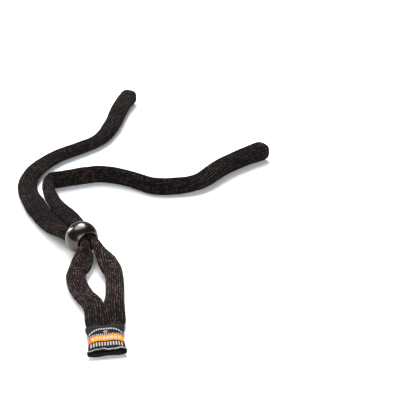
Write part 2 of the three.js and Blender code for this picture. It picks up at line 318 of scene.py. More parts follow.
def route_stations(rows, start, end, swells):
    """Stations along part of a tube's route: centre, section axes, sizes and run."""
    centre, places, at = route_line(rows, start, end, RING_STEP)
    table = np.array(rows, float)
    reach = int(SIZE_REACH / RING_STEP)
    width, thick, roll = (
        smoothed(np.interp(at, range(len(rows)), table[:, column]), reach) for column in (3, 4, 5)
    )
    pushed = np.zeros(len(places))
    lifted = np.zeros(len(places))
    for first, last, wider, shift, thicker, rise in swells:
        share = eased(np.clip(np.minimum(at - first, last - at) / SWELL_FADE, 0, 1))
        width = width + wider * MM * share
        thick = thick + thicker * MM * share
        pushed = pushed + shift * MM * share
        lifted = lifted + rise * MM * share
    tangent = np.gradient(centre, places, axis=0)
    tangent /= np.linalg.norm(tangent, axis=1)[:, None]
    flat = np.cross(tangent, UP)
    flat /= np.linalg.norm(flat, axis=1)[:, None]
    turn = -np.radians(roll)[:, None]
    across = flat * np.cos(turn) + np.cross(tangent, flat) * np.sin(turn)
    over = np.cross(across, tangent)
    over /= np.linalg.norm(over, axis=1)[:, None]
    return {
        "centre": centre + FRAME_SHIFT + flat * pushed[:, None] + UP * lifted[:, None],
        "tangent": tangent,
        "across": across,
        "over": over,
        "width": width,
        "thick": thick,
        "run": places,
    }


def even_section(half_width, half_thick, sides, squareness, dent=0.0):
    """Points round a flattened section, evenly spaced along its outline, as (across, over)."""
    angle = np.linspace(0, 2 * math.pi, 721)
    c = np.cos(angle)
    s = np.sin(angle)
    across = np.sign(c) * np.abs(c) ** (2 / squareness) * half_width
    over = np.sign(s) * np.abs(s) ** (2 / squareness) * half_thick
    hollow = np.exp(-((across / (DENT_WIDTH * half_width)) ** 2))
    over = over - np.sign(s) * dent * hollow * np.minimum(1, np.abs(s) * 2)
    length = np.concatenate([[0], np.cumsum(np.hypot(np.diff(across), np.diff(over)))])
    places = np.linspace(0, length[-1], sides + 1)
    return np.stack([np.interp(places, length, across), np.interp(places, length, over)], 1)


# ---------------------------------------------------------------- mesh helpers
def placed(name, mesh):
    piece = bpy.data.objects.new(name, mesh)
    bpy.context.scene.collection.objects.link(piece)
    return piece


def shade_smooth(mesh):
    mesh.polygons.foreach_set("use_smooth", [True] * len(mesh.polygons))
    mesh.update()


def set_values(mesh, name, values):
    """Stores one number for each point of a mesh."""
    attribute = mesh.attributes.new(name, "FLOAT", "POINT")
    attribute.data.foreach_set("value", np.asarray(values, np.float32))


def point_outwards(mesh):
    """Turns every face outwards on a closed shell."""
    work = bmesh.new()
    work.from_mesh(mesh)
    bmesh.ops.recalc_face_normals(work, faces=work.faces)
    work.to_mesh(mesh)
    work.free()


def skinned_piece(name, rings, rib, run, cover, wrapped=False):
    """Skins rings of points, each with one point more than its sides so that the seam can carry
    its own map. rib and run are the map's two coordinates; cover says how deep the ribs are.
    Both ends are closed, unless the last ring is wrapped back to the first."""
    rings = np.asarray(rings)
    count = rings.shape[0]
    sides = rings.shape[1] - 1
    points = [tuple(p) for ring in rings for p in ring[:-1]]
    faces = []
    maps = []
    for i in range(count if wrapped else count - 1):
        j = (i + 1) % count
        for k in range(sides):
            n = (k + 1) % sides
            faces.append((i * sides + k, i * sides + n, j * sides + n, j * sides + k))
            maps.extend([(rib[i][k], run[i]), (rib[i][k + 1], run[i])])
            maps.extend([(rib[j][k + 1], run[j]), (rib[j][k], run[j])])
    for i in () if wrapped else (0, count - 1):
        middle = len(points)
        points.append(tuple(rings[i][:-1].mean(0)))
        for k in range(sides):
            here = i * sides + k
            beside = i * sides + (k + 1) % sides
            faces.append((beside, here, middle) if i == 0 else (here, beside, middle))
            maps.extend([(rib[i][k], run[i])] * 3)
    mesh = bpy.data.meshes.new(name)
    mesh.from_pydata(points, [], faces)
    layer = mesh.uv_layers.new(name="surface")
    layer.data.foreach_set("uv", np.array(maps, np.float32).ravel())
    ends = np.zeros(len(points) - count * sides)
    set_values(mesh, "rib", np.concatenate([row[:-1] for row in rib] + [ends]))
    set_values(mesh, "cover", np.concatenate([np.repeat(cover, sides), ends]))
    shade_smooth(mesh)
    point_outwards(mesh)
    return placed(name, mesh)


def through_tree(piece, tree, **values):
    """Runs a geometry tree on a piece and keeps the result as its plain mesh."""
    modifier = piece.modifiers.new("made", "NODES")
    modifier.node_group = tree
    sockets = {
        item.name: item.identifier
        for item in tree.interface.items_tree
        if item.item_type == "SOCKET" and item.in_out == "INPUT"
    }
    for label, value in values.items():
        modifier[sockets[label.replace("_", " ")]] = value
    graph = bpy.context.evaluated_depsgraph_get()
    graph.update()
    made = piece.evaluated_get(graph)
    mesh = bpy.data.meshes.new_from_object(made, preserve_all_data_layers=True, depsgraph=graph)
    piece.modifiers.remove(modifier)
    piece.data = mesh
    mesh.name = piece.name
    shade_smooth(mesh)
    return piece


# ---------------------------------------------------------------- node helpers
def feed(tree, socket, value):
    if isinstance(value, bpy.types.NodeSocket):
        tree.links.new(value, socket)
    else:
        socket.default_value = value


def add_node(tree, kind, inputs=None, **settings):
    """A node with its settings, and its inputs fed by name or number."""
    node = tree.nodes.new(kind)
    for key, value in settings.items():
        setattr(node, key, value)
    for key, value in (inputs or {}).items():
        feed(tree, node.inputs[key], value)
    return node


def calc(tree, operation, *values):
    """One Math node; values are numbers or sockets."""
    return add_node(tree, "ShaderNodeMath", dict(enumerate(values)), operation=operation).outputs[0]


def product(tree, first, second):
    return calc(tree, "MULTIPLY", first, second)


def ramp(tree, value, low, high, to_low=0.0, to_high=1.0):
    """A smooth step of value between low and high."""
    inputs = dict(enumerate((value, low, high, to_low, to_high)))
    return add_node(tree, "ShaderNodeMapRange", inputs, interpolation_type="SMOOTHSTEP").outputs[0]


def band(tree, value, low, high, soft):
    """1 where value is between low and high, with soft edges."""
    rising = ramp(tree, value, low - soft, low + soft)
    falling = ramp(tree, value, high - soft, high + soft, 1.0, 0.0)
    return product(tree, rising, falling)


def bars(tree, value, pitch, share):
    """1 on evenly spaced bars that fill a share of each pitch."""
    phase = calc(tree, "FRACT", calc(tree, "DIVIDE", value, pitch))
    return band(tree, phase, 0.5 - share / 2, 0.5 + share / 2, BAR_SOFTNESS)


def mixed(tree, factor, first, second):
    return add_node(tree, "ShaderNodeMix", {0: factor, 6: first, 7: second}, data_type="RGBA").outputs[2]


def noise(tree, vector, scale, detail, roughness=0.55):
    inputs = {"Vector": vector, "Scale": scale, "Detail": detail, "Roughness": roughness}
    return add_node(tree, "ShaderNodeTexNoise", inputs).outputs["Fac"]


def map_parts(tree, vector):
    """The two coordinates of a surface map."""
    parts = add_node(tree, "ShaderNodeSeparateXYZ", {0: vector}).outputs
    return parts[0], parts[1]


def new_group(name, inputs, outputs, kind="ShaderNodeTree"):
    """An empty node group, the values given to it and the sockets for its results."""
    tree = bpy.data.node_groups.new(name, kind)
    for label, socket, default in inputs:
        item = tree.interface.new_socket(label, in_out="INPUT", socket_type=socket)
        if default is not None:
            item.default_value = default
    for label, socket in outputs:
        tree.interface.new_socket(label, in_out="OUTPUT", socket_type=socket)
    return tree, add_node(tree, "NodeGroupInput").outputs, add_node(tree, "NodeGroupOutput").inputs


def use_group(tree, group, **values):
    inputs = {label.replace("_", " "): value for label, value in values.items()}
    return add_node(tree, "ShaderNodeGroup", inputs, node_tree=group).outputs


FLOAT, VECTOR = "NodeSocketFloat", "NodeSocketVector"
GEOMETRY = "NodeSocketGeometry"


# ---------------------------------------------------------------- geometry trees
def geometry_tree(name, numbers):
    """An empty geometry tree with named numbers, a seed and a material to set."""
    inputs = [("Geometry", GEOMETRY, None)]
    inputs += [(label, FLOAT, value) for label, value in numbers.items()]
    inputs += [("Seed", "NodeSocketInt", 0), ("Material", "NodeSocketMaterial", None)]
    return new_group(name, inputs, [("Geometry", GEOMETRY)], "GeometryNodeTree")


def finish_tree(tree, geometry, given, result):
    """Realize Instances and Set Material, as the last two nodes."""
    real = add_node(tree, "GeometryNodeRealizeInstances", {0: geometry}).outputs[0]
    inputs = {"Geometry": real, "Material": given["Material"]}
    feed(tree, result[0], add_node(tree, "GeometryNodeSetMaterial", inputs).outputs[0])
    return tree


def point_value(tree, name):
    """Reads the number stored for each point."""
    return add_node(tree, "GeometryNodeInputNamedAttribute", {"Name": name}, data_type="FLOAT").outputs[0]


def make_ribbed_surface():
    """Raises lengthwise ribs and slow lumps on a smooth surface."""
    numbers = {"Rib Depth": 0.0002, "Rib Roundness": 0.6, "Lump Depth": 0.0003, "Lump Scale": 70.0}
    tree, given, result = geometry_tree("ribbed_surface", numbers)
    wave = calc(tree, "SINE", product(tree, point_value(tree, "rib"), math.pi))
    crest = calc(tree, "POWER", calc(tree, "ABSOLUTE", wave), given["Rib Roundness"])
    raised = product(tree, calc(tree, "SUBTRACT", crest, 1.0), given["Rib Depth"])
    place = add_node(tree, "GeometryNodeInputPosition").outputs[0]
    inputs = {"Vector": place, "W": given["Seed"], "Scale": given["Lump Scale"], "Detail": 2.0}
    lump = add_node(tree, "ShaderNodeTexNoise", inputs, noise_dimensions="4D").outputs["Fac"]
    swell = product(tree, calc(tree, "SUBTRACT", lump, 0.55), given["Lump Depth"])
    height = product(tree, calc(tree, "ADD", raised, swell), point_value(tree, "cover"))
    normal = add_node(tree, "GeometryNodeInputNormal").outputs[0]
    offset = add_node(tree, "ShaderNodeVectorMath", {0: normal, "Scale": height}, operation="SCALE")
    inputs = {"Geometry": given["Geometry"], "Offset": offset.outputs[0]}
    moved = add_node(tree, "GeometryNodeSetPosition", inputs).outputs[0]
    return finish_tree(tree, moved, given, result)


def make_stitch_row():
    """Sets short stitches of thread along a line of points."""
    numbers = {"Pitch": 0.0012, "Stitch Length": 0.0012, "Thread Radius": 0.0002}
    numbers |= {"Tilt": 0.0, "Unevenness": 0.1}
    tree, given, result = geometry_tree("stitch_row", numbers)
    line = add_node(tree, "GeometryNodeMeshToCurve", {0: given["Geometry"]}).outputs[0]
    inputs = {"Curve": line, "Length": given["Pitch"]}
    spaced = add_node(tree, "GeometryNodeResampleCurve", inputs, mode="LENGTH").outputs[0]
    ball = add_node(tree, "GeometryNodeMeshUVSphere", {"Segments": 8, "Rings": 6, "Radius": 1.0}).outputs[0]
    half = product(tree, given["Stitch Length"], 0.5)
    sizes = {0: half, 1: given["Thread Radius"], 2: given["Thread Radius"]}
    size = add_node(tree, "ShaderNodeCombineXYZ", sizes).outputs[0]
    stitch = add_node(tree, "GeometryNodeTransform", {"Geometry": ball, "Scale": size}).outputs[0]
    tangent = add_node(tree, "GeometryNodeInputTangent").outputs[0]
    along = add_node(tree, "FunctionNodeAlignRotationToVector", {"Vector": tangent}, axis="X").outputs[0]
    uneven = add_node(tree, "FunctionNodeRandomValue", {"Seed": given["Seed"]}, data_type="FLOAT")
    low, high = [socket for socket in uneven.inputs if socket.type == "VALUE"][:2]
    feed(tree, low, product(tree, given["Unevenness"], -1.0))
    feed(tree, high, given["Unevenness"])
    chance = [socket for socket in uneven.outputs if socket.type == "VALUE"][0]
    lean = calc(tree, "ADD", given["Tilt"], chance)
    euler = add_node(tree, "ShaderNodeCombineXYZ", {2: lean}).outputs[0]
    spin = add_node(tree, "FunctionNodeEulerToRotation", {0: euler}).outputs[0]
    turned = add_node(tree, "FunctionNodeRotateRotation", {0: along, 1: spin}, rotation_space="LOCAL")
    inputs = {"Points": spaced, "Instance": stitch, "Rotation": turned.outputs[0]}
    copies = add_node(tree, "GeometryNodeInstanceOnPoints", inputs).outputs[0]
    return finish_tree(tree, copies, given, result)


ribbed_surface = make_ribbed_surface()
stitch_row = make_stitch_row()


# ---------------------------------------------------------------- shared effects
def make_lint_and_wear():
    """Fine specks and slow patches, for lint on cloth and for rubbing."""
    tree, given, result = new_group(
        "lint_and_wear",
        [("Vector", VECTOR, None), ("Speck Scale", FLOAT, 2500.0), ("Patch Scale", FLOAT, 60.0)],
        [("Specks", FLOAT), ("Patches", FLOAT)],
    )
    speck = noise(tree, given["Vector"], given["Speck Scale"], 2.0, 0.6)
    patch = noise(tree, given["Vector"], given["Patch Scale"], 3.0, 0.5)
    feed(tree, result["Specks"], ramp(tree, speck, 0.62, 0.74))
    feed(tree, result["Patches"], ramp(tree, patch, 0.35, 0.68))
    return tree


def make_knit_stitches():
    """Columns of V-shaped knitted stitches on a map of rib number and run in millimetres."""
    tree, given, result = new_group(
        "knit_stitches",
        [("Map", VECTOR, None), ("Course", FLOAT, 0.85), ("Slant", FLOAT, 0.9)],
        [("Height", FLOAT), ("Groove", FLOAT), ("Yarn", FLOAT), ("Each", FLOAT)],
    )
    across, along = map_parts(tree, given["Map"])
    side = calc(tree, "ABSOLUTE", calc(tree, "SUBTRACT", calc(tree, "FRACT", across), 0.5))
    course = calc(tree, "DIVIDE", along, given["Course"])
    slanted = calc(tree, "ADD", course, product(tree, side, given["Slant"]))
    phase = calc(tree, "FRACT", slanted)
    loop = calc(tree, "SINE", product(tree, phase, math.pi))
    yarn = calc(tree, "POWER", calc(tree, "MAXIMUM", loop, 0.0), 0.6)
    rib = calc(tree, "COSINE", product(tree, side, math.pi))
    rounded = calc(tree, "POWER", calc(tree, "MAXIMUM", rib, 0.0), 0.5)
    middle = ramp(tree, side, 0.0, 0.09)  # the small gap between a V's two arms
    height = product(tree, yarn, rounded)
    height = product(tree, height, ramp(tree, middle, 0.0, 1.0, 0.6, 1.0))
    cell = add_node(
        tree, "ShaderNodeCombineXYZ", {0: calc(tree, "FLOOR", across), 1: calc(tree, "FLOOR", slanted)}
    )
    chance = add_node(tree, "ShaderNodeTexWhiteNoise", {"Vector": cell.outputs[0]}, noise_dimensions="2D")
    feed(tree, result["Height"], height)
    feed(tree, result["Groove"], ramp(tree, side, 0.21, 0.40))
    feed(tree, result["Yarn"], yarn)
    feed(tree, result["Each"], chance.outputs["Value"])
    return tree


def make_plain_weave():
    """Crossing threads of a woven label or tape, on a map in millimetres."""
    tree, given, result = new_group(
        "plain_weave",
        [("Map", VECTOR, None), ("Warp Pitch", FLOAT, 0.28), ("Weft Pitch", FLOAT, 0.22)],
        [("Height", FLOAT), ("Crossing", FLOAT)],
    )
    across, along = map_parts(tree, given["Map"])
    waves = []
    for place, pitch in ((across, "Warp Pitch"), (along, "Weft Pitch")):
        threads = calc(tree, "DIVIDE", place, given[pitch])
        waves.append(calc(tree, "SINE", product(tree, threads, math.pi)))
    crossing = product(tree, *waves)
    feed(tree, result["Height"], calc(tree, "ABSOLUTE", crossing))
    feed(tree, result["Crossing"], ramp(tree, crossing, -0.3, 0.3))
    return tree


lint_and_wear = make_lint_and_wear()
knit_stitches = make_knit_stitches()
plain_weave = make_plain_weave()


# ---------------------------------------------------------------- materials
def new_material(name, **settings):
    """A material with one Principled shader whose plain values are set on its own sockets."""
    material = bpy.data.materials.new(name)
    material.use_nodes = True
    tree = material.node_tree
    shader = tree.nodes["Principled BSDF"].inputs
    for label, value in settings.items():
        shader[label.replace("_", " ")].default_value = value
    return material, tree, shader


def bump_into(tree, shader, height, strength, distance):
    inputs = {"Strength": strength, "Distance": distance, "Height": height}
    feed(tree, shader["Normal"], add_node(tree, "ShaderNodeBump", inputs).outputs[0])


def object_place(tree):
    return add_node(tree, "ShaderNodeTexCoord").outputs["Object"]


def surface_map(tree):
    return add_node(tree, "ShaderNodeUVMap", uv_map="surface").outputs[0]


def knit_material():
    """Black knit with painted light and shade: pale ribs, painted paler still on the loops, each stitch a
    little different, and painted shade in the valleys between the ribs and between the stitches.
    """
    material, tree, shader = new_material(
        "black_knit",
        Sheen_Weight=0.012,
        Sheen_Roughness=0.5,
        Sheen_Tint=(0.8, 0.7, 0.66, 1),
        Specular_IOR_Level=0.03,
    )
    place = object_place(tree)
    stitches = use_group(tree, knit_stitches, Map=surface_map(tree), Course=COURSE / MM, Slant=0.95)
    lint = use_group(tree, lint_and_wear, Vector=place, Speck_Scale=1500.0, Patch_Scale=45.0)
    # painted light: the knit is painted paler on the loops below the bead, as if they caught more light
    painted_light = add_node(tree, "ShaderNodeAttribute", attribute_name="painted_light").outputs["Fac"]
    tone = ramp(tree, noise(tree, place, 26.0, 2.0), 0.38, 0.62)
    dull = mixed(tree, tone, (0.034, 0.024, 0.026, 1), (0.038, 0.030, 0.025, 1))
    painted_lit = mixed(tree, tone, (0.130, 0.093, 0.087, 1), (0.134, 0.103, 0.083, 1))
    rib = mixed(tree, painted_light, dull, painted_lit)
    lively = calc(tree, "POWER", stitches["Each"], 2.2)
    lively = calc(tree, "ADD", 0.18, product(tree, lively, 1.05))
    shown = product(tree, lively, stitches["Yarn"])
    shown = product(tree, shown, ramp(tree, lint["Patches"], 0.0, 1.0, 0.84, 1.14))
    # painted shade: the yarn goes near black between stitches and is paler on its crests
    yarn = mixed(tree, shown, (0.0022, 0.0016, 0.0018, 1), rib)
    specks = product(tree, lint["Specks"], 0.25)
    speckled = mixed(tree, specks, yarn, (0.085, 0.070, 0.060, 1))
    # painted shade: near black in the grooves between the ribs
    colour = mixed(tree, stitches["Groove"], speckled, (0.0020, 0.0014, 0.0016, 1))
    feed(tree, shader["Base Color"], colour)
    feed(tree, shader["Roughness"], ramp(tree, lint["Patches"], 0.0, 1.0, 0.95, 0.8))
    bump_into(tree, shader, stitches["Height"], 0.8, 0.0004)
    return material


def thread_material(name, colour, pale):
    """Twisted sewing thread."""
    material, tree, shader = new_material(
        name, Sheen_Weight=0.3, Sheen_Roughness=0.4, Specular_IOR_Level=0.35
    )
    place = object_place(tree)
    lint = use_group(tree, lint_and_wear, Vector=place, Speck_Scale=3000.0, Patch_Scale=400.0)
    inputs = {"Vector": place, "Scale": 1400.0, "Distortion": 1.5}
    wave = add_node(tree, "ShaderNodeTexWave", inputs, wave_type="BANDS", bands_direction="DIAGONAL")
    twist = wave.outputs["Fac"]
    feed(tree, shader["Base Color"], mixed(tree, lint["Patches"], colour, pale))
    feed(tree, shader["Roughness"], ramp(tree, twist, 0.0, 1.0, 0.9, 0.65))
    bump_into(tree, shader, twist, 0.6, 0.0001)
    return material


def bead_material():
    """Dark plated ball, polished, with a faint haze of fine rubbing."""
    material, tree, shader = new_material("gunmetal_bead", Metallic=1.0)
    place = object_place(tree)
    wear = use_group(tree, lint_and_wear, Vector=place, Speck_Scale=2600.0, Patch_Scale=160.0)
    inputs = {"Scale": (400.0, 2600.0, 900.0), "Rotation": (0.4, 0.2, 0.9), "Vector": place}
    scratches = add_node(tree, "ShaderNodeMapping", inputs).outputs[0]
    colour = mixed(tree, wear["Patches"], (0.066, 0.057, 0.052, 1), (0.077, 0.068, 0.061, 1))
    feed(tree, shader["Base Color"], colour)
    base = ramp(tree, wear["Patches"], 0.0, 1.0, 0.20, 0.25)
    haze = product(tree, wear["Specks"], 0.12)
    feed(tree, shader["Roughness"], calc(tree, "ADD", base, haze))
    bump_into(tree, shader, noise(tree, scratches, 1.0, 2.0), 0.05, 0.00005)
    return material


def label_marks(tree, across, along, ragged, wavering):
    """Where pale thread shows: a dashed arch, a small diamond, rows of plain bars and blocks."""
    side = calc(tree, "ABSOLUTE", across)

    def bar_row(rows, soft, pitch, share):
        return product(tree, band(tree, wavering, *rows, soft), bars(tree, across, pitch, share))

    def within(row, half):
        return product(tree, row, ramp(tree, side, half, half + 0.4, 1.0, 0.0))

    drop = calc(tree, "POWER", calc(tree, "DIVIDE", side, PATTERN_HALF), 2.2)
    crest = calc(tree, "ADD", ARCH_TOP, product(tree, drop, ARCH_DROP))
    off_crest = calc(tree, "ABSOLUTE", calc(tree, "SUBTRACT", calc(tree, "ADD", along, ragged), crest))
    line = ramp(tree, off_crest, 0.36, 0.6, 1.0, 0.0)
    arch = product(tree, line, bars(tree, across, 1.15, 0.72))
    above = calc(tree, "ABSOLUTE", calc(tree, "SUBTRACT", along, DIAMOND_AT))
    diamond = band(tree, calc(tree, "ADD", side, above), 0.55, 1.15, 0.12)
    marks = calc(tree, "MAXIMUM", arch, product(tree, diamond, 0.9))
    for row in (
        bar_row(TOP_BARS, 0.12, 0.95, 0.5),
        within(bar_row(BLOCKS, 0.14, 1.75, 0.62), BLOCKS_HALF),
        within(bar_row(LOWER_BARS, 0.14, 1.3, 0.5), LOWER_BARS_HALF),
    ):
        marks = calc(tree, "MAXIMUM", marks, row)
    return marks


def label_material():
    """Woven label: black ground, an orange band and the pale marks, on its front only."""
    material, tree, shader = new_material(
        "woven_label", Sheen_Weight=0.03, Sheen_Roughness=0.4, Specular_IOR_Level=0.1
    )
    coordinates = surface_map(tree)
    across, along = map_parts(tree, coordinates)
    side = calc(tree, "ABSOLUTE", across)
    weave = use_group(tree, plain_weave, Map=coordinates, Warp_Pitch=0.3, Weft_Pitch=0.24)
    lint = use_group(tree, lint_and_wear, Vector=object_place(tree), Speck_Scale=2400.0, Patch_Scale=300.0)
    bow = product(tree, calc(tree, "POWER", side, 2.0), 0.016)
    ragged = calc(tree, "SUBTRACT", noise(tree, coordinates, 2.2, 2.0), 0.5)
    ragged = product(tree, ragged, 0.5)
    wavering = calc(tree, "ADD", calc(tree, "SUBTRACT", along, bow), ragged)
    front = ramp(tree, side, PATTERN_HALF, 9.2, 1.0, 0.0)

    ground = mixed(tree, weave["Crossing"], (0.003, 0.0027, 0.003, 1), (0.0095, 0.0085, 0.0085, 1))
    frayed = ramp(tree, noise(tree, coordinates, 1.6, 4.0), 0.46, 0.66)
    frayed = product(tree, ramp(tree, wavering, 4.0, 6.0, 1.0, 0.0), frayed)
    ground = mixed(tree, product(tree, frayed, 0.8), ground, (0.036, 0.034, 0.025, 1))
    shift = ramp(tree, across, -8.5, -4.5)
    orange = mixed(tree, shift, (0.84, 0.11, 0.008, 1), (0.90, 0.25, 0.006, 1))
    on_band = product(tree, band(tree, wavering, *ORANGE_BAND, 0.12), front)
    colour = mixed(tree, on_band, ground, orange)

    pale = product(tree, label_marks(tree, across, along, ragged, wavering), front)
    thread = mixed(tree, weave["Crossing"], (0.28, 0.27, 0.255, 1), (0.52, 0.51, 0.49, 1))
    colour = mixed(tree, pale, colour, thread)
    specks = product(tree, lint["Specks"], 0.25)
    feed(tree, shader["Base Color"], mixed(tree, specks, colour, (0.2, 0.19, 0.17, 1)))
    feed(tree, shader["Roughness"], ramp(tree, weave["Height"], 0.0, 1.0, 0.9, 0.6))
    raised = product(tree, calc(tree, "MAXIMUM", pale, on_band), 0.8)
    bump_into(tree, shader, calc(tree, "ADD", weave["Height"], raised), 0.6, 0.00012)
    return material


def binding_material():
    """Ribbed black tape."""
    material, tree, shader = new_material(
        "black_tape", Sheen_Weight=0.02, Sheen_Roughness=0.5, Specular_IOR_Level=0.12
    )
    weave = use_group(tree, plain_weave, Map=surface_map(tree), Warp_Pitch=0.45, Weft_Pitch=0.3)
    lint = use_group(tree, lint_and_wear, Vector=object_place(tree), Speck_Scale=2200.0, Patch_Scale=180.0)
    dark = mixed(tree, weave["Crossing"], (0.002, 0.0018, 0.0018, 1), (0.007, 0.006, 0.0055, 1))
    rubbed = product(tree, lint["Patches"], 0.4)
    feed(tree, shader["Base Color"], mixed(tree, rubbed, dark, (0.013, 0.011, 0.0095, 1)))
    feed(tree, shader["Roughness"], ramp(tree, weave["Height"], 0.0, 1.0, 0.95, 0.75))
    bump_into(tree, shader, weave["Height"], 0.7, 0.00016)
    return material


black_knit = knit_material()
black_thread = thread_material("black_thread", (0.010, 0.008, 0.007, 1), (0.028, 0.024, 0.02, 1))
grey_thread = thread_material("grey_thread", (0.22, 0.22, 0.21, 1), (0.5, 0.5, 0.48, 1))
gunmetal_bead = bead_material()
woven_label = label_material()
black_tape = binding_material()


# ---------------------------------------------------------------- knitted tubes
def mouth_squareness(run):
    """A sleeve is a little square at its mouth, from being pulled over flat temples."""
    return TUBE_SQUARENESS + MOUTH_SQUARENESS * max(0.0, 1 - run / MOUTH_SQUARE_RUN)


def mouth_rounding(run):
    """How far a sleeve is drawn in near its mouth."""
    return MOUTH_ROUNDING * max(0.0, 1 - run / MOUTH_ROUNDING_RUN) ** 2


def drawn_in(run):
    """How far the outside of a sleeve is drawn in, with the groove of its hem."""
    groove = HEM_GROOVE_DEPTH * math.exp(-(((run - HEM_DISTANCE) / HEM_GROOVE_REACH) ** 2))
    return mouth_rounding(run) + groove


def tube_ring(stations, index, less, sides, squareness, dent=0.0, along=0.0):
    """Points round a tube at one station, less inside its surface and moved along it."""
    half_width = stations["width"][index] / 2 - less
    half_thick = stations["thick"][index] / 2 - less
    section = even_section(half_width, half_thick, sides, squareness, dent)
    centre = stations["centre"][index] + stations["tangent"][index] * along
    return centre + section[:, :1] * stations["across"][index] + section[:, 1:] * stations["over"][index]


def tube_rings(stations, mouth):
    """Rings of a knitted tube, with their rib numbers, runs and rib depths. A tube with a mouth
    starts at the bottom of its pocket and folds over at the mouth to its outside."""
    sides = WALES * SIDES_PER_WALE
    rings, runs, covers = [], [], []

    def add(index, less, run, cover, **shape):
        squareness = mouth_squareness(abs(run)) if mouth else TUBE_SQUARENESS
        rings.append(tube_ring(stations, index, less, sides, squareness, **shape))
        runs.append(run / MM)
        covers.append(cover)

    if mouth:
        inside = [i for i, run in enumerate(stations["run"]) if KNIT_WALL < run <= POCKET_DEPTH]
        for index in reversed(inside[::3]):
            run = stations["run"][index]
            add(index, KNIT_WALL + mouth_rounding(run), -run, POCKET_COVER)
        for step in range(1, FOLD_STEPS):
            turn = math.pi * step / FOLD_STEPS
            less = drawn_in(0) + KNIT_WALL / 2 * (1 + math.cos(turn))
            along = KNIT_WALL / 2 * (1 - math.sin(turn)) - FOLD_OVERHANG
            add(0, less, 0.0, FOLD_COVER, along=along)
    for index, run in enumerate(stations["run"]):
        if mouth and run < KNIT_WALL / 2:
            continue
        flatness = 1 - stations["thick"][index] / stations["width"][index]
        wander = 0.6 + 0.4 * math.sin(run / DENT_WANDER + stations["centre"][index][0] * 90)
        dent = DENT_DEPTH * max(0.0, flatness - DENT_FLATNESS) * wander
        add(index, drawn_in(run) if mouth else 0.0, run, 1.0, dent=dent)
    ribs = [np.linspace(0, WALES, sides + 1)] * len(rings)
    return rings, ribs, runs, covers


def knitted_tube(name, rows, start, end, swells, seed):
    """A stretch of a tube; the one that starts with the route's first point has a mouth."""
    stations = route_stations(rows, start, end, swells)
    piece = skinned_piece(name, *tube_rings(stations, start == 0))
    spots = np.zeros(len(piece.data.vertices) * 3)
    piece.data.vertices.foreach_get("co", spots)
    # painted light: how much paler the knit is painted, by distance towards the label
    set_values(piece.data, "painted_light", np.interp(-spots[1::3], *zip(*PAINTED_LIGHT)))
    through_tree(
        piece,
        ribbed_surface,
        Rib_Depth=0.46 * MM,
        Rib_Roundness=0.62,
        Lump_Depth=0.9 * MM,
        Lump_Scale=75.0,
        Seed=seed,
        Material=black_knit,
    )
    return piece, stations


left_upper, left_upper_route = knitted_tube(
    "left_tube_upper", LEFT_ROUTE, 0, LEFT_BEAD_POINT, LEFT_UPPER_SWELLS, LEFT_SEED
)
left_lower, left_lower_route = knitted_tube(
    "left_tube_lower", LEFT_ROUTE, LEFT_BEAD_POINT, len(LEFT_ROUTE) - 1, LEFT_LOWER_SWELLS, LEFT_SEED
)
right_upper, right_upper_route = knitted_tube(
    "right_tube_upper", RIGHT_ROUTE, 0, RIGHT_BEAD_POINT, RIGHT_UPPER_SWELLS, RIGHT_SEED
)
right_lower, right_lower_route = knitted_tube(
    "right_tube_lower", RIGHT_ROUTE, RIGHT_BEAD_POINT, len(RIGHT_ROUTE) - 1, RIGHT_LOWER_SWELLS, RIGHT_SEED
)


# ---------------------------------------------------------------- rows of stitches
def stitched(name, points, closed, material, **stitches):
    """A row of stitches along a line of points."""
    mesh = bpy.data.meshes.new(name)
    count = len(points)
    edges = [(i, (i + 1) % count) for i in range(count if closed else count - 1)]
    mesh.from_pydata([tuple(p) for p in points], edges, [])
    return through_tree(placed(name, mesh), stitch_row, Material=material, **stitches)


def hem_stitches(name, stations, seed):
    """Stitches in the drawn-in groove round a sleeve's mouth."""
    index = int(np.argmin(np.abs(stations["run"] - HEM_DISTANCE)))
    less = mouth_rounding(HEM_DISTANCE) + HEM_THREAD_DEPTH
    points = tube_ring(stations, index, less, HEM_POINTS, mouth_squareness(HEM_DISTANCE))[:-1]
    return stitched(
        name, points, True, black_thread, Pitch=1.5 * MM, Stitch_Length=1.35 * MM,
        Thread_Radius=0.17 * MM, Tilt=0.25, Unevenness=0.12, Seed=seed,
    )


def seam_stitches():
    """Slanted stitches that close the groove between the two tubes above the label."""
    centre = route_line(SEAM_ROUTE, 0, len(SEAM_ROUTE) - 1, SEAM_STEP)[0]
    points = centre + FRAME_SHIFT + UP * SEAM_LIFT
    return stitched(
        "seam_stitches", points, False, black_thread, Pitch=0.95 * MM, Stitch_Length=1.5 * MM,
        Thread_Radius=0.2 * MM, Tilt=0.7, Unevenness=0.2, Seed=4,
    )


left_hem = hem_stitches("left_hem_stitches", left_upper_route, 1)
right_hem = hem_stitches("right_hem_stitches", right_upper_route, 2)
seam = seam_stitches()


# ---------------------------------------------------------------- label and binding
def label_section(width, thick, lift):
    """A squared flat section with two soft swellings over the tubes inside."""
    section = even_section(width / 2, thick / 2, LABEL_SIDES, LABEL_SQUARENESS)
    swell = lift * np.cos(2 * math.pi * section[:, 0] / (width * SWELLING_SPACING)) * np.sign(section[:, 1])
    fade = np.clip(np.abs(section[:, 1]) / (thick * 0.3), 0, 1)
    section[:, 1] -= swell * fade
    return section


def label_ring(distance, section, rise):
    centre = LABEL_TOP + LABEL_RUN * distance
    return centre + section[:, :1] * LABEL_ACROSS + section[:, 1:] * UP + UP * rise


def across_map(section):
    """Distance round the section from the middle of its top, in millimetres."""
    length = np.concatenate([[0], np.cumsum(np.hypot(*np.diff(section, axis=0).T))])
    along = (length[-1] / 4 - length) / MM
    half = length[-1] / 2 / MM
    return np.where(along < -half, along + 2 * half, along)


def label_width(distance):
    return float(np.interp(distance, LABEL_DISTANCES, LABEL_WIDTHS))


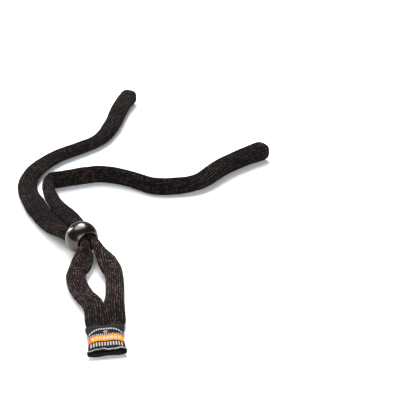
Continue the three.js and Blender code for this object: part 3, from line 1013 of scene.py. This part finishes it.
def label_thick(distance):
    share = min(max((distance - LABEL_THINS_FROM) / LABEL_THINS_OVER, 0.0), 1.0)
    return LABEL_THICK + (LABEL_END_THICK - LABEL_THICK) * eased(share)


def label_sink(distance):
    """The underside stays level, so the thinner end sits lower."""
    return (label_thick(distance) - LABEL_THICK) / 2


def make_label():
    """The woven band: its outer face and its inner one, a ply apart."""
    rings, ribs, runs, covers = [], [], [], []
    distances = np.arange(LABEL_DISTANCES[0], LABEL_DISTANCES[-1] + 1e-7, LABEL_STEP)
    outer = [(distance, 0.0) for distance in distances]
    inner = [(distance, LABEL_PLY) for distance in distances[::-1]]
    edges = (distances[0], distances[-1])
    for distance, less in outer + inner:
        edge = LABEL_EDGE if less == 0 and distance in edges else 0.0
        width = label_width(distance) - 2 * less - 2 * edge
        section = label_section(width, label_thick(distance) - 2 * less - 2 * edge, LABEL_LIFT)
        ripple = LABEL_RIPPLE * math.sin(distance / (2.6 * MM))
        rings.append(label_ring(distance, section, label_sink(distance) + ripple))
        ribs.append(across_map(section))
        runs.append(distance / MM)
        covers.append(1.0 if less == 0 else 0.0)
    piece = skinned_piece("woven_label", rings, ribs, runs, covers, wrapped=True)
    return through_tree(
        piece, ribbed_surface, Rib_Depth=0.0, Rib_Roundness=1.0, Lump_Depth=0.35 * MM,
        Lump_Scale=160.0, Seed=5, Material=woven_label,
    )


def make_binding():
    """The folded tape: a soft lip with rounded edges and a slight wave."""
    profile = []
    for angle in np.linspace(0.15, math.pi / 2, 7):
        distance = BINDING_START - BINDING_LAP + BINDING_ROUNDING * (1 - math.cos(angle))
        profile.append((distance, BINDING_ROUNDING * (1 - math.sin(angle))))
    for angle in np.linspace(0, math.pi / 2 - 0.1, 9):
        distance = BINDING_END - BINDING_ROUNDING * (1 - math.sin(angle))
        profile.append((distance, BINDING_ROUNDING * (1 - math.cos(angle))))
    rings, ribs, runs = [], [], []
    for distance, less in profile:
        section = label_section(BINDING_WIDTH - 2 * less, BINDING_THICK - 2 * less, BINDING_LIFT)
        section[:, 1] += BINDING_WAVE * np.sin(section[:, 0] / (2.4 * MM) + 0.6)
        rings.append(label_ring(distance, section, BINDING_RISE))
        ribs.append(across_map(section))
        runs.append(distance / MM)
    piece = skinned_piece("folded_binding", rings, ribs, runs, [1.0] * len(rings))
    return through_tree(
        piece, ribbed_surface, Rib_Depth=0.05 * MM, Rib_Roundness=0.7, Lump_Depth=0.5 * MM,
        Lump_Scale=200.0, Seed=6, Material=black_tape,
    )


def label_stitches(name, distance, wave, material, **stitches):
    """A row of thread round the label, wandering along it by a small wave."""
    half_width = (label_width(distance) + 0.5 * MM) / 2
    half_thick = label_thick(distance) / 2 + 0.22 * MM
    points = []
    for across, over in even_section(half_width, half_thick, ROW_POINTS, LABEL_SQUARENESS)[:-1]:
        ripple = 0.5 * wave * math.sin(across / (0.62 * MM) + 1.0)
        shift = wave * math.sin(across / (1.5 * MM)) + ripple
        point = LABEL_TOP + LABEL_RUN * (distance + shift) + LABEL_ACROSS * across
        points.append(point + UP * (over + label_sink(distance)))
    return stitched(name, points, True, material, Tilt=0.0, **stitches)


label = make_label()
binding = make_binding()
top_row = label_stitches(
    "label_top_stitches", 4.4 * MM, 0.0, black_thread,
    Pitch=1.6 * MM, Stitch_Length=1.2 * MM, Thread_Radius=0.16 * MM, Unevenness=0.1, Seed=7,
)
bottom_row = label_stitches(
    "label_bottom_stitches", 20.5 * MM, 0.35 * MM, grey_thread,
    Pitch=0.9 * MM, Stitch_Length=1.3 * MM, Thread_Radius=0.3 * MM, Unevenness=0.45, Seed=9,
)


# ---------------------------------------------------------------- bead
def arc(x, y, radius, start, end, steps):
    angles = np.linspace(start, end, steps + 1)
    return [(x + radius * math.cos(angle), y + radius * math.sin(angle)) for angle in angles]


def make_bead():
    """The ball with its bore, as one outline turned about the bore."""
    lip = BORE_RADIUS + LIP_RADIUS
    height = math.sqrt((BEAD_RADIUS - LIP_RADIUS) ** 2 - lip**2)
    lean = math.atan2(height, lip)
    outline = arc(lip, -height, LIP_RADIUS, -math.pi, -lean, 12)
    outline += arc(0.0, 0.0, BEAD_RADIUS, -lean, lean, 64)[1:-1]
    outline += arc(lip, height, LIP_RADIUS, lean, math.pi, 12)
    outline += [(BORE_RADIUS, along) for along in np.linspace(height, -height, 10)[1:-1]]
    side = np.cross(BORE_DIRECTION, UP)
    points, faces = [], []
    for radius, along in outline:
        for step in range(BEAD_TURNS):
            angle = 2 * math.pi * step / BEAD_TURNS
            spoke = side * math.cos(angle) + UP * math.sin(angle)
            points.append(tuple(BEAD_CENTRE + BORE_DIRECTION * along + spoke * radius))
    for i in range(len(outline)):
        here = i * BEAD_TURNS
        after = (i + 1) % len(outline) * BEAD_TURNS
        for k in range(BEAD_TURNS):
            n = (k + 1) % BEAD_TURNS
            faces.append((here + k, after + k, after + n, here + n))
    mesh = bpy.data.meshes.new("ball_bead")
    mesh.from_pydata(points, [], faces)
    shade_smooth(mesh)
    point_outwards(mesh)
    mesh.materials.append(gunmetal_bead)
    return placed("ball_bead", mesh)


bead = make_bead()


# ---------------------------------------------------------------- bodies
def declare_tube(piece, stations, replaced):
    """Bakes the tube's placement into its mesh and hides the parts it replaces; the path it works out is not
    used.
    """
    upward = piece.name.endswith("upper")
    if upward:
        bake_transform(piece)
    else:
        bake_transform(piece)
    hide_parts(*replaced)
    path = stations["centre"][::8]
    path = np.vstack([path, stations["centre"][-1:]])


for piece, replaced, slot in (
    (left_hem, "left_mouth_hem", "thread"),
    (right_hem, "right_mouth_hem", "thread"),
    (seam, "join_seam", "thread"),
    (label, "label_band", "label"),
    (top_row, "label_stitch_upper", "thread"),
    (bottom_row, "label_stitch_lower", "thread"),
    (binding, "end_binding", "binding"),
):
    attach(piece, "strap")
    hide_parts(replaced)

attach(bead, "bead")
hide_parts("slide_bead")

declare_tube(left_upper, left_upper_route, ("left_temple_sleeve", "left_leg"))
declare_tube(left_lower, left_lower_route, ("left_leg",))
declare_tube(right_upper, right_upper_route, ("right_temple_sleeve", "right_leg"))
declare_tube(right_lower, right_lower_route, ("right_leg",))


# ---------------------------------------------------------------- floor and light
def make_floor():
    half = 7.0
    mesh = bpy.data.meshes.new("floor")
    corners = [(-half, -half, 0), (half, -half, 0), (half, half, 0), (-half, half, 0)]
    mesh.from_pydata(corners, [], [(0, 1, 2, 3)])
    floor = placed("floor", mesh)
    floor.location.z = -0.0002
    material, tree, shader = new_material("pale_floor", Roughness=0.9, Specular_IOR_Level=0.1)
    grain = noise(tree, object_place(tree), 40.0, 2.0)
    feed(tree, shader["Base Color"], mixed(tree, grain, (0.90, 0.905, 0.915, 1), (0.92, 0.925, 0.93, 1)))
    mesh.materials.append(material)


def soft_light(name, place, size, power, colour=(1, 1, 1), aim=(0, 0, 0)):
    data = bpy.data.lights.new(name, "AREA")
    data.shape = "ELLIPSE"
    data.size, data.size_y = size
    data.energy = power
    data.color = colour
    light = bpy.data.objects.new(name, data)
    light.location = place
    light.rotation_euler = (Vector(aim) - Vector(place)).to_track_quat("-Z", "Y").to_euler()
    bpy.context.scene.collection.objects.link(light)


def make_world():
    world = bpy.data.worlds.new("studio")
    bpy.context.scene.world = world
    world.use_nodes = True
    background = world.node_tree.nodes["Background"].inputs
    background["Color"].default_value = (0.150, 0.156, 0.172, 1)
    background["Strength"].default_value = 1.0


make_floor()
soft_light("big_panel", place=(-0.4, 0.8, 2.0), size=(2.4, 1.5), power=58)
soft_light("back_softbox", place=(-0.15, 1.25, 1.5), size=(0.8, 0.5), power=38, colour=(1, 0.985, 0.96))
soft_light(
    "side_strip", place=(-1.3, 0.8, 0.5), size=(0.3, 0.7), power=15, colour=(1, 0.97, 0.93), aim=(0, 0, 0.02)
)
soft_light("front_fill", place=(0.4, -1.7, 0.95), size=(2.4, 1.2), power=34, colour=(0.97, 0.98, 1.0))
make_world()
bpy.context.scene.view_settings.view_transform = "Standard"
